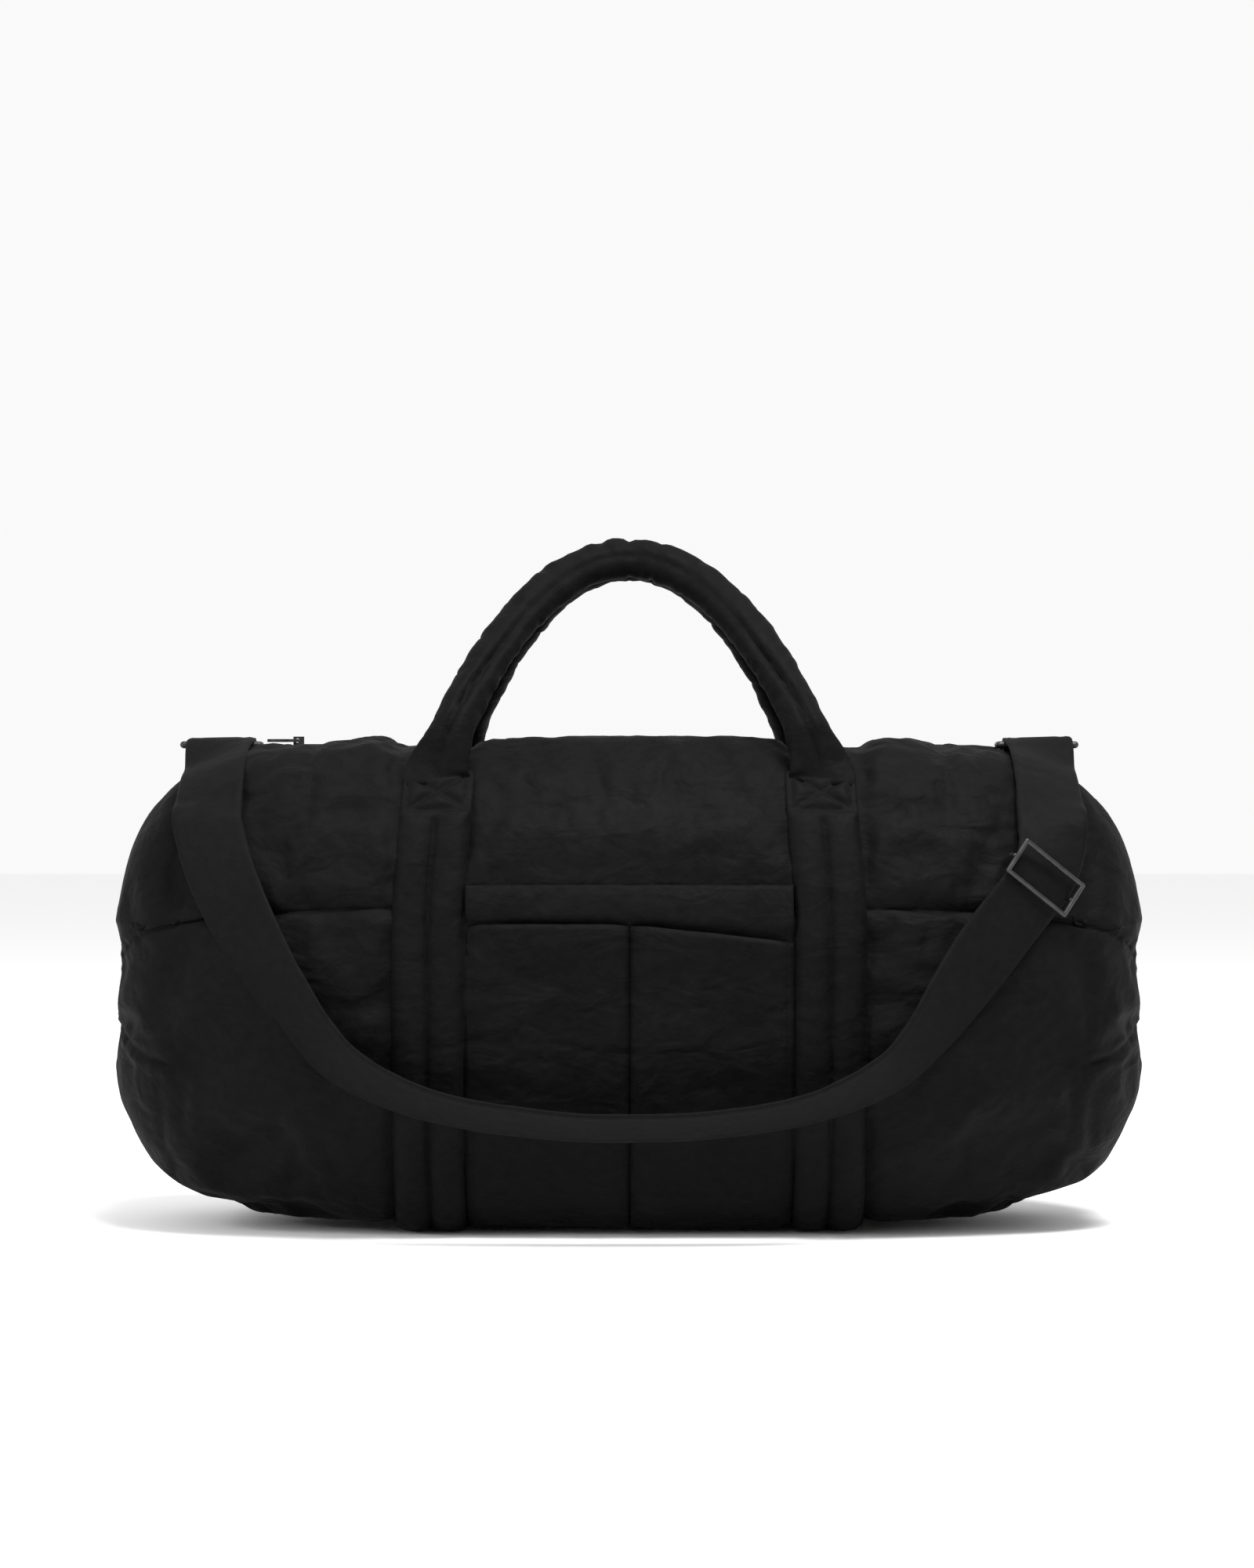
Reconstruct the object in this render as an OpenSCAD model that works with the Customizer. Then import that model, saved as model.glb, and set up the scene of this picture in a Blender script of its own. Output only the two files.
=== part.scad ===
// Soft barrel duffel bag: padded handles, front pocket, zip mouth with two lips
// and a shoulder strap on rings. Millimetres, +X along the bag, -Y to the front,
// +Z up, origin on the floor under the middle of the bag.

/* [Body] */
// Length of the bag
bag_length = 551; // [540:1:570]
// Depth of the bag from front to back
bag_depth = 260; // [250:1:270]
// Height of the flat top above the floor
bag_top = 267.5; // [264:0.5:272]
// Thickness of the padded outer fabric
shell_t = 2.5; // [1.5:0.1:3]
// Thickness of the lining
lining_t = 0.6; // [0.4:0.1:0.8]

/* [Bands and handles] */
// Width of the carrying bands
band_w = 38.6; // [34:0.2:42]
// Height of the two padded ridges on a band
band_h = 6.5; // [4:0.1:8]
// Distance of a band's centre line from the middle of the bag
band_x = 108; // [104:1:112]
// Diameter of the padded handle tubes
handle_d = 22; // [18:0.5:24]
// Height of the top of the handles above the floor
handle_top = 384; // [370:1:400]

/* [Zip] */
// Half of the length of the moving zip tapes
zip_half = 170; // [150:1:172]
// Width of the slider over its plates
slider_w = 10; // [8:0.5:11]

/* [Strap] */
// Width of the shoulder strap
strap_w = 38; // [32:1:38]
// Thickness of the shoulder strap
strap_t = 2.4; // [1.6:0.1:2.8]
// Distance of the strap's centre from the middle of the bag at its rings
strap_x = 229; // [228:1:232]

/* [Pocket] */
// Half of the width of the front pocket
pocket_half = 87; // [70:1:88]

/* [Hidden] */

// Colours
cloth = [0.10, 0.10, 0.10];
cloth_band = [0.13, 0.13, 0.13];
cloth_inside = [0.22, 0.22, 0.22];
metal = [0.35, 0.35, 0.36];

// The skin is a superellipsoid with a flat top and a flat base
half_l = bag_length / 2;
half_d = bag_depth / 2;
end_n = 3.9;
side_n = 2.8;
mid_z = 132.5;
crown_h = 145;
keel_h = 137;
base_z = 3;

// Angles round the section, in degrees: 0 is the front, 90 the top, -90 the base
seam_a = 18.5;
low_seam_a = -20;
hinge_a = 39;
base_a = -64;
seam_gap = 0.2;

// The end panels start here
end_x = 244;
end_y = half_d * pow(1 - pow(end_x / half_l, end_n), 1 / end_n);

// The mouth between the shoulder panels, and the axes of its lips
mouth_x = 208;
lip_gap = 2;
lip_axis = [-116, 227];

// Zip
zip_z = 266;
tape_t = 0.8;
tape_out = 6.4;
slit = 1.2;
teeth_w = 2;
teeth_h = 2.4;
slider_l = 16;
slider_x = -(zip_half + lip_gap + slider_l / 2);
plate_t = 1.5;
pivot_x = slider_x - 7.2;
pivot_z = zip_z + 5;

// Handles: pivots, lean and arch
handle_r = handle_d / 2;
pivot_y = -109.5;
foot_z = 257.7;
foot_x = 103;
crest_y = -(handle_r + 0.5);
crest_z = handle_top - handle_r;
lean = atan2(crest_y - pivot_y, crest_z - foot_z);
arch_h = norm([crest_y - pivot_y, crest_z - foot_z]);
cover_t = 1.4;

// Strap: ring axis, shoulder path and fold axis in the Y-Z plane
ring_z = 268.5;
ring_bar_r = 2;
ring_reach = 14;
eye_r = 3.6;
fold_at = [-101.5, 229.5];
shoulder_path = [[-16.5, 268.3], [-42, 265.8], [-62, 259.8], [-82, 248.8], [-92, 240], [-98.4, 233]];

// Centre line of the hanging strap from the left fold to the right fold, and the
// turn of its width out of the front plane at each point
strap_route = [[-229, -103, 227.5], [-226, -109, 216], [-221, -115, 200], [-212, -121, 180],
               [-201, -127, 160], [-188, -134, 138], [-170, -141, 114], [-148, -149, 94],
               [-118, -155, 80], [-86, -158, 72], [-44, -159, 66], [0, -159, 64],
               [44, -159, 66], [86, -158, 72], [116, -155, 81], [142, -149, 96],
               [160, -145, 115], [174, -140, 134], [190, -134.5, 156], [206, -128, 176],
               [222, -120.5, 196], [228, -112.5, 212], [229, -103, 227.5]];
strap_turn = [0, 4, 10, 18, 26, 34, 44, 52, 58, 62, 64, 64, 64, 62, 58, 52, 44, 32, 20, 20, 20, 14, 0];
adjuster_at = 20;
adjuster_w = 44;
adjuster_l = 22;
wire_r = 1.3;
wire_gap = 1.6;

function clamp(v, low, high) = min(max(v, low), high);
function mix(a, b, t) = a + (b - a) * t;

// Point of a section: distance x along the bag, angle a round it, moved out by d
function raw(x, a, d) =
    let (s = pow(1 - pow(abs(x) / (half_l + d), end_n), 1 / end_n),
         g = pow(pow(abs(cos(a)), side_n) + pow(abs(sin(a)), side_n), 1 / side_n),
         h = (a > 0 && a < 180 ? crown_h : keel_h) + d)
    [x, -(half_d + d) * s * cos(a) / g, h * s * sin(a) / g];
function settle(p, d) =
    [p[0], p[1], mid_z + clamp(p[2], max(base_z - d, 0) - mid_z, bag_top - mid_z + d)];
function skin(x, a, d) = settle(raw(x, a, d), d);

// Point of the skin on the ray q from the middle of the bag, moved out by d
function ray(q, d) =
    let (h = (q[2] > 0 ? crown_h : keel_h) + d,
         side = pow(abs(q[1]) / (half_d + d), side_n) + pow(abs(q[2]) / h, side_n),
         f = pow(abs(q[0]) / (half_l + d), end_n) + pow(side, end_n / side_n))
    settle(q * pow(f, -1 / end_n), d);

// Ray across the right end at depth y and angle a
function end_ray(y, a) =
    let (x = half_l * pow(1 - pow(abs(y) / half_d, end_n), 1 / end_n),
         p = raw(end_x, a, 0),
         z = p[2] * x / end_x)
    [x, y * abs(p[1]) / end_y, mix(z, p[2], abs(y) / end_y)];

// Coons patch through four edges, each a list of points
function coons(low, high, first, last) =
    let (m = len(first) - 1, n = len(low) - 1)
    [for (i = [0 : m]) let (v = i / m)
        [for (j = [0 : n]) let (u = j / n)
            mix(low[j], high[j], v) + mix(first[i], last[i], u)
            - mix(mix(low[0], low[n], u), mix(high[0], high[n], u), v)]];

// Closed slab between two grids of points
function split_quad(a, b, c, d) = [[a, b, c], [a, c, d]];
function reversed(list) = [for (i = [len(list) - 1 : -1 : 0]) list[i]];
module slab(outer, inner) {
    m = len(outer);
    n = len(outer[0]);
    k = m * n;
    rim = concat([for (j = [0 : n - 1]) j], [for (i = [1 : m - 1]) i * n + n - 1],
                 [for (j = [n - 2 : -1 : 0]) (m - 1) * n + j], [for (i = [m - 2 : -1 : 1]) i * n]);
    outside = [for (i = [0 : m - 2]) for (j = [0 : n - 2])
        each split_quad(i * n + j, i * n + j + 1, (i + 1) * n + j + 1, (i + 1) * n + j)];
    inside = [for (f = outside) [f[2] + k, f[1] + k, f[0] + k]];
    edge = [for (i = [0 : len(rim) - 1]) let (a = rim[i], b = rim[(i + 1) % len(rim)])
        each split_quad(b, a, a + k, b + k)];
    polyhedron([for (row = concat(outer, inner)) each row], concat(outside, inside, edge));
}

// Piece of the barrel skin between lengths x0, x1 and angles a0, a1
function steps(a, b, n) = [for (i = [0 : n]) mix(a, b, i / n)];
function skin_grid(xs, as, d) = [for (a = as) [for (x = xs) skin(x, a, d)]];
module skin_piece(xs, as, d_out, d_in) slab(skin_grid(xs, as, d_out), skin_grid(xs, as, d_in));
// Rays of a right-hand piece, none of them nearer the middle than x0
function ray_grid(grid, d, x0) = [for (row = grid) [for (q = row)
    let (p = ray(q, d)) [max(p[0], x0 + seam_gap), p[1], p[2]]]];
module ray_piece(grid, d_out, d_in, x0 = end_x) slab(ray_grid(grid, d_out, x0), ray_grid(grid, d_in, x0));

panel_x = [-244, -222, -195, -165, -130, -95, -60, -30, 0, 30, 60, 95, 130, 165, 195, 222, 244];
mouth_xs = [-208, -190, -165, -130, -95, -60, -30, 0, 30, 60, 95, 130, 165, 190, 208];
lip_xs = steps(-zip_half, zip_half, 14);

module front_wall() skin_piece(panel_x, steps(seam_a - seam_gap, base_a + seam_gap, 11), 0, -shell_t);
module top_wall() skin_piece(mouth_xs, steps(hinge_a - 1, seam_a + seam_gap, 4), 0, -shell_t);
module front_panel() { color(cloth) front_wall(); }
module back_panel() { color(cloth) mirror([0, 1, 0]) front_wall(); }
module top_front_panel() { color(cloth) top_wall(); }
module top_back_panel() { color(cloth) mirror([0, 1, 0]) top_wall(); }
module base_panel() {
    color(cloth) skin_piece(panel_x, steps(base_a - seam_gap, -180 - base_a + seam_gap, 6), 0, -shell_t);
}

// Right end: three pieces that meet the barrel at end_x
module end_middle() {
    grid = [for (a = steps(seam_a - seam_gap, low_seam_a + seam_gap, 4))
        [for (y = steps(-end_y, end_y, 10)) end_ray(y, a)]];
    ray_piece(grid, 0, -shell_t);
}
module end_lower() {
    rows = 5;
    cols = 10;
    high = [for (y = steps(-end_y, end_y, cols)) end_ray(y, low_seam_a - seam_gap)];
    low = [for (a = steps(base_a, -180 - base_a, cols)) raw(end_x, a, 0)];
    first = [for (a = steps(low_seam_a - seam_gap, base_a, rows)) raw(end_x, a, 0)];
    last = [for (p = first) [p[0], -p[1], p[2]]];
    ray_piece(coons(high, low, first, last), 0, -shell_t);
}
module shoulder() {
    rows = 6;
    cols = 14;
    a = seam_a + seam_gap;
    front = [for (x = [mouth_x, mouth_x + 18, end_x - 6]) raw(x, a, 0)];
    over = [for (y = steps(-end_y, end_y, cols - 6)) end_ray(y, a)];
    back = [for (p = reversed(front)) [p[0], -p[1], p[2]]];
    mouth = [for (t = steps(hinge_a, 180 - hinge_a, cols)) raw(mouth_x + 1, t, 0)];
    first = [for (t = steps(hinge_a, a, rows)) raw(mouth_x + mix(1, 0, (hinge_a - t) / (hinge_a - a)), t, 0)];
    last = [for (p = first) [p[0], -p[1], p[2]]];
    ray_piece(coons(mouth, concat(front, over, back), first, last), 0, -shell_t, mouth_x);
}
module left_side() mirror([1, 0, 0]) children();
module right_end_panel() { color(cloth) end_middle(); }
module left_end_panel() { color(cloth) left_side() end_middle(); }
module right_end_lower_panel() { color(cloth) end_lower(); }
module left_end_lower_panel() { color(cloth) left_side() end_lower(); }
module right_shoulder_panel() { color(cloth) shoulder(); }
module left_shoulder_panel() { color(cloth) left_side() shoulder(); }

// Skin beside the parked slider, between the lips' ends and a shoulder panel
module mouth_end() {
    xs = steps(zip_half + lip_gap, mouth_x, 3);
    half = steps(86.7, hinge_a, 6);
    skin_piece(xs, half, 0, -shell_t);
    mirror([0, 1, 0]) skin_piece(xs, half, 0, -shell_t);
}
module right_mouth_end() { color(cloth) mouth_end(); }
module left_mouth_end() { color(cloth) left_side() mouth_end(); }

// Lining, just inside the outer fabric
lining_d = -shell_t - 1;
end_lining_d = -shell_t - 2;
module end_lining() {
    rows = 8;
    x = end_x + 6;
    high = [for (a = steps(hinge_a, 180 - hinge_a, 8)) raw(x, a, 0)];
    low = [for (a = steps(base_a, -180 - base_a, 8)) raw(x, a, 0)];
    first = [for (a = steps(hinge_a, base_a, rows)) raw(x, a, 0)];
    last = [for (p = first) [p[0], -p[1], p[2]]];
    ray_piece(coons(high, low, first, last), end_lining_d, end_lining_d - lining_t);
}
module lining_body() {
    color(cloth_inside)
    skin_piece(panel_x, steps(hinge_a - 1, hinge_a - 1 - 2 * (90 + hinge_a - 1), 24),
               lining_d, lining_d - lining_t);
}
module right_end_lining() { color(cloth_inside) end_lining(); }
module left_end_lining() { color(cloth_inside) left_side() end_lining(); }

// Stiff board on the lining, with round corners
board_l = 300;
board_w = 96;
board_r = 25;
board_z = 8.4;
board_t = 3;
module base_board() {
    color(cloth_inside) translate([0, 0, board_z]) linear_extrude(board_t) {
        square([board_l - 2 * board_r, board_w], center = true);
        square([board_l, board_w - 2 * board_r], center = true);
        for (x = [-1, 1], y = [-1, 1])
            translate([x * (board_l / 2 - board_r), y * (board_w / 2 - board_r)])
                circle(r = board_r, $fn = 48);
    }
}

// Padded band with two ridges and a stitched groove; heights across its width
band_gap = 0.9;
ridge = [[-0.5, 1.4], [-0.42, 5], [-0.25, band_h], [-0.08, 5], [0, 2.4],
         [0.08, 5], [0.25, band_h], [0.42, 5], [0.5, 1.4]];
function band_grid(as, top) = [for (a = as) [for (r = ridge)
    skin(band_x + r[0] * band_w, a, top ? r[1] : band_gap)]];
module band_piece(as) slab(band_grid(as, true), band_grid(as, false));
band_top_a = hinge_a - 2;
band_low_a = -61;
module front_band() band_piece(steps(band_top_a, band_low_a + seam_gap, 14));
module base_band() band_piece(steps(band_low_a - seam_gap, -180 - band_low_a + seam_gap, 8));
module front_right_band() { color(cloth_band) front_band(); }
module front_left_band() { color(cloth_band) left_side() front_band(); }
module back_right_band() { color(cloth_band) mirror([0, 1, 0]) front_band(); }
module back_left_band() { color(cloth_band) left_side() mirror([0, 1, 0]) front_band(); }
module right_base_band() { color(cloth_band) base_band(); }
module left_base_band() { color(cloth_band) left_side() base_band(); }

// Front pocket: two halves over a pleat, under a facing strip
pocket_top_a = 14.4;
pocket_low_a = -60;
facing_top_a = 22.5;
pleat_half = 14;
pocket_as = steps(pocket_top_a, pocket_low_a, 10);
module pocket_right_panel() { color(cloth) skin_piece(steps(0.8, pocket_half, 4), pocket_as, 2.8, 1.4); }
module pocket_left_panel() { color(cloth) skin_piece(steps(-pocket_half, -0.8, 4), pocket_as, 2.8, 1.4); }
module pocket_pleat() { color(cloth) skin_piece([-pleat_half, 0, pleat_half], pocket_as, 1.1, 0.5); }
module pocket_facing() {
    color(cloth)
    skin_piece(steps(-pocket_half, pocket_half, 8), steps(facing_top_a, pocket_top_a + 0.4, 3), 2.8, 0.6);
}

// Lips of the mouth, with their facings, handle patches, zip tapes and teeth
lip_as = steps(86.7, hinge_a, 8);
module lip(d_out, d_in) skin_piece(lip_xs, lip_as, d_out, d_in);
module front_lip_panel() { color(cloth) lip(0, -shell_t); }
module back_lip_panel() { color(cloth) mirror([0, 1, 0]) lip(0, -shell_t); }
module front_lip_facing() { color(cloth_inside) lip(lining_d, lining_d - lining_t); }
module back_lip_facing() { color(cloth_inside) mirror([0, 1, 0]) lip(lining_d, lining_d - lining_t); }
patch_x = foot_x + 2;
module handle_patch() {
    skin_piece(steps(patch_x - band_w / 2, patch_x + band_w / 2, 3), steps(49, hinge_a + 1.6, 3), 2.6, band_gap);
}
module front_right_handle_patch() { color(cloth_band) handle_patch(); }
module front_left_handle_patch() { color(cloth_band) left_side() handle_patch(); }
module back_right_handle_patch() { color(cloth_band) mirror([0, 1, 0]) handle_patch(); }
module back_left_handle_patch() { color(cloth_band) left_side() mirror([0, 1, 0]) handle_patch(); }

// One side of the zip between lengths x0 and x1
module tape(x0, x1)
    translate([x0, slit + teeth_w, zip_z - tape_t / 2])
        cube([x1 - x0, tape_out - slit - teeth_w, tape_t]);
module teeth(x0, x1) translate([x0, slit, zip_z - teeth_h / 2]) cube([x1 - x0, teeth_w, teeth_h]);
module back_zip_tape() { color(cloth) tape(-zip_half, zip_half); }
module front_zip_tape() { color(cloth) mirror([0, 1, 0]) tape(-zip_half, zip_half); }
module back_zip_teeth() { color(metal) teeth(-zip_half, zip_half); }
module front_zip_teeth() { color(metal) mirror([0, 1, 0]) teeth(-zip_half, zip_half); }
stop_x = zip_half + lip_gap + slider_l + 3;
module zip_end_tapes() {
    color(cloth) for (side = [0, 1], face = [0, 1])
        mirror([side, 0, 0]) mirror([0, face, 0]) {
            tape(zip_half + lip_gap, stop_x);
            teeth(zip_half + lip_gap, stop_x);
        }
}

// Slider: two plates on a post, and a lug that holds the puller's pin
play = 0.3;
plate_z = teeth_h / 2 + play;
lug_t = 2.4;
pin_r = 0.9;
module zip_slider() {
    color(metal) {
        translate([slider_x - slider_l / 2, -slider_w / 2, zip_z + plate_z])
            cube([slider_l, slider_w, plate_t]);
        translate([slider_x - slider_l / 2, -slider_w / 2, zip_z - plate_z - plate_t])
            cube([slider_l, slider_w, plate_t]);
        translate([slider_x - slider_l / 4, play - slit, zip_z - plate_z - plate_t / 2])
            cube([slider_l / 2, 2 * (slit - play), 2 * plate_z + plate_t]);
        difference() {
            translate([pivot_x - 2.2, -lug_t / 2, zip_z + plate_z + plate_t / 2])
                cube([6, lug_t, 5]);
            translate([pivot_x, 0, pivot_z]) rotate([90, 0, 0])
                cylinder(r = pin_r + play, h = 2 * lug_t, center = true, $fn = 32);
        }
    }
}
pull_r = 6.5;
pull_hole_r = 3.6;
pull_t = 1.6;
pull_reach = 10.5;
module zip_puller() {
    color(metal) translate([pivot_x, 0, pivot_z]) {
        rotate([90, 0, 0]) cylinder(r = pin_r, h = 6.8, center = true, $fn = 32);
        for (y = [-2.6, 2.6])
            translate([-5.4, y - pull_t / 2, -pull_t / 2]) cube([5.4, pull_t, pull_t]);
        difference() {
            translate([-pull_reach, 0, -pull_t / 2]) cylinder(r = pull_r, h = pull_t, $fn = 48);
            translate([-pull_reach, 0, -pull_t]) cylinder(r = pull_hole_r, h = 2 * pull_t, $fn = 48);
        }
    }
}

// Handle arch in its own plane: x across, h up from the pivots
function bezier(a, b, c, d, t) =
    a * pow(1 - t, 3) + b * 3 * t * pow(1 - t, 2) + c * 3 * t * t * (1 - t) + d * pow(t, 3);
function arch_half(t) =
    bezier([foot_x, 0], [0.87 * foot_x, 0.36 * arch_h], [0.52 * foot_x, arch_h], [0, arch_h], t);
arch_steps = 14;
arch_right = [for (i = [0 : arch_steps]) arch_half(i / arch_steps)];
arch = concat(arch_right, [for (i = [arch_steps - 1 : -1 : 0]) [-arch_right[i][0], arch_right[i][1]]]);
function along(list, i) =
    let (d = list[min(i + 1, len(list) - 1)] - list[max(i - 1, 0)]) d / norm(d);
// Rings of a tube round the arch; the leaning plane runs along X and "up"
up = [0, sin(lean), cos(lean)];
out = [0, cos(lean), -sin(lean)];
function arch_ring(p, dir, r, sides) =
    let (across = [dir[1], -dir[0]],
         middle = [p[0], pivot_y, foot_z] + up * p[1])
    [for (k = [0 : sides - 1]) let (t = 360 * k / sides)
        middle + r * cos(t) * ([across[0], 0, 0] + up * across[1]) + r * sin(t) * out];
function ring_row(path, r, sides) =
    [for (i = [0 : len(path) - 1]) arch_ring(path[i], along(path, i), r, sides)];
// Round nose at each end of the tube: rings that shrink ahead of the first one
function nose(path, r, sides, turns) =
    [for (t = turns) arch_ring(path[0] - along(path, 0) * r * sin(t), along(path, 0), r * cos(t), sides)];
module skinned(rings, looped = false) {
    n = len(rings[0]);
    m = len(rings);
    last = looped ? m - 1 : m - 2;
    sides = [for (i = [0 : last]) let (a = i * n, b = (i + 1) % m * n) for (k = [0 : n - 1])
        each split_quad(a + k, a + (k + 1) % n, b + (k + 1) % n, b + k)];
    caps = looped ? [] : [[for (k = [n - 1 : -1 : 0]) k], [for (k = [0 : n - 1]) (m - 1) * n + k]];
    polyhedron([for (ring = rings) each ring], concat(sides, caps));
}
tube_sides = 12;
nose_turns = [75, 50, 25];
function tube_rings(r) =
    let (start = nose(arch, r, tube_sides, nose_turns),
         finish = [for (ring = reversed(start)) [for (k = [0 : tube_sides - 1])
             let (p = ring[(tube_sides * 3 / 2 - k) % tube_sides]) [-p[0], p[1], p[2]]]])
    concat(start, ring_row(arch, r, tube_sides), finish);
// Cover: the outer tube turned back into itself, open at both noses
module handle_cover() {
    rings = concat(tube_rings(handle_r), reversed(tube_rings(handle_r - cover_t)));
    skinned(rings, true);
}
module handle_core() skinned(tube_rings(handle_r - cover_t - 0.2));
module front_handle_cover() { color(cloth_band) handle_cover(); }
module front_handle_core() { color("gray") handle_core(); }
module back_handle_cover() { color(cloth_band) mirror([0, 1, 0]) handle_cover(); }
module back_handle_core() { color("gray") mirror([0, 1, 0]) handle_core(); }

// Fabric tab with an eye round the ring's rear bar, on a pad that fills the shoulder
tab_w = strap_w - 2;
pad_y = [6, 42];
module across_bag(x, w) translate([x - w / 2, 0, 0]) rotate([90, 0, 90]) linear_extrude(w) children();
module strap_anchor() {
    across_bag(strap_x, tab_w) difference() {
        union() {
            translate([0, ring_z]) circle(r = eye_r, $fn = 48);
            polygon([[0, ring_z - eye_r], [0, ring_z - 1], [pad_y[1], ring_z - 2.6], [pad_y[1], ring_z - 4.4]]);
        }
        translate([0, ring_z]) circle(r = ring_bar_r + play, $fn = 48);
    }
    inner = strap_x - tab_w / 2;
    outer = strap_x + tab_w / 2;
    translate([0, pad_y[1], 0]) rotate([90, 0, 0]) linear_extrude(pad_y[1] - pad_y[0])
        polygon([[inner, ring_z - 4], [inner, ring_z - 4.5], [outer, ring_z - 21.4], [outer, ring_z - 4]]);
}
module right_strap_anchor() { color(cloth_band) strap_anchor(); }
module left_strap_anchor() { color(cloth_band) left_side() strap_anchor(); }

// Rectangular ring; its rear bar is the axis of the strap's ends
ring_half = strap_w / 2 + ring_bar_r;
module bar(from, to, r) {
    d = to - from;
    translate(from) rotate([0, acos(d[2] / norm(d)), atan2(d[1], d[0])]) cylinder(r = r, h = norm(d), $fn = 32);
    for (p = [from, to])
        translate(p) sphere(r = r, $fn = 32);
}
module wire_rectangle(a, b, r) {
    for (y = [-b, b])
        bar([-a, y, 0], [a, y, 0], r);
    for (x = [-a, a])
        bar([x, -b, 0], [x, b, 0], r);
}
module ring_frame() translate([strap_x, -ring_reach / 2, ring_z])
    wire_rectangle(ring_half, ring_reach / 2, ring_bar_r);
module right_ring() { color(metal) ring_frame(); }
module left_ring() { color(metal) left_side() ring_frame(); }

// Strap over the shoulder, from the ring's front bar to the fold
function normal_at(path, i) = let (d = along(path, i)) [-d[1], d[0]];
function ribbon(path, t) = concat(
    [for (i = [0 : len(path) - 1]) path[i] + normal_at(path, i) * t / 2],
    [for (i = [len(path) - 1 : -1 : 0]) path[i] - normal_at(path, i) * t / 2]);
module strap_end() across_bag(strap_x, strap_w - 0.6) difference() {
    union() {
        translate([-ring_reach, ring_z]) circle(r = eye_r, $fn = 48);
        polygon(ribbon(shoulder_path, strap_t));
    }
    translate([-ring_reach, ring_z]) circle(r = ring_bar_r + 0.05, $fn = 48);
}
module right_strap_end() { color(cloth_band) strap_end(); }
module left_strap_end() { color(cloth_band) left_side() strap_end(); }

// Hanging strap: frame of three directions at each point of its route
function unit(v) = v / norm(v);
function route_along(i) = unit(strap_route[min(i + 1, len(strap_route) - 1)] - strap_route[max(i - 1, 0)]);
// Before it turns, the width lies in the front plane; it turns its upper edge forward
function route_width(i) =
    let (d = route_along(i), flat = unit(cross([0, 1, 0], d)),
         w = unit(flat * cos(strap_turn[i]) + [0, 1, 0] * sin(strap_turn[i])))
    unit(w - d * (w * d));
function strap_ring(i) =
    let (w = route_width(i) * (strap_w - 0.6) / 2, t = cross(route_along(i), route_width(i)) * strap_t / 2)
    [for (k = [[-1, -1], [1, -1], [1, 1], [-1, 1]]) strap_route[i] + w * k[0] + t * k[1]];
module shoulder_strap() {
    color(cloth_band) skinned([for (i = [0 : len(strap_route) - 1]) strap_ring(i)]);
}

// Adjuster: an open rectangle of wire before the strap and a bar behind it
adj_w = route_width(adjuster_at);
adj_side = unit(cross(adj_w, route_along(adjuster_at - 1)));
adj_out = adj_side[1] < 0 ? adj_side : -adj_side;
adj_d = cross(adj_out, adj_w);
adj_a = adjuster_w / 2 - wire_r;
adj_b = adjuster_l / 2 - wire_r;
adj_c = strap_t / 2 + wire_r + wire_gap;
module on_adjuster() {
    p = strap_route[adjuster_at];
    multmatrix([for (i = [0 : 2]) [adj_w[i], adj_d[i], adj_out[i], p[i]]]) children();
}
module adjuster_frame() {
    color(metal) on_adjuster() translate([0, 0, adj_c]) wire_rectangle(adj_a, adj_b, wire_r);
}
module adjuster_bar() {
    color(metal) on_adjuster() {
        bar([-adj_a, 0, -adj_c], [adj_a, 0, -adj_c], wire_r);
        for (a = [-adj_a, adj_a])
            bar([a, 0, -adj_c], [a, 0, adj_c - 2 * wire_r - 0.1], wire_r);
    }
}

front_panel();
back_panel();
base_panel();
top_front_panel();
top_back_panel();
left_shoulder_panel();
right_shoulder_panel();
left_end_panel();
right_end_panel();
left_end_lower_panel();
right_end_lower_panel();
left_mouth_end();
right_mouth_end();
lining_body();
left_end_lining();
right_end_lining();
base_board();
front_left_band();
front_right_band();
back_left_band();
back_right_band();
left_base_band();
right_base_band();
pocket_left_panel();
pocket_right_panel();
pocket_pleat();
pocket_facing();
front_lip_panel();
back_lip_panel();
front_lip_facing();
back_lip_facing();
front_left_handle_patch();
front_right_handle_patch();
back_left_handle_patch();
back_right_handle_patch();
front_zip_tape();
back_zip_tape();
front_zip_teeth();
back_zip_teeth();
zip_end_tapes();
zip_slider();
zip_puller();
front_handle_cover();
front_handle_core();
back_handle_cover();
back_handle_core();
left_strap_anchor();
right_strap_anchor();
left_ring();
right_ring();
left_strap_end();
right_strap_end();
shoulder_strap();
adjuster_frame();
adjuster_bar();
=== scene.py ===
import math

import bmesh
import bpy
import numpy as np
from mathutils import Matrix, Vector, noise


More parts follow.
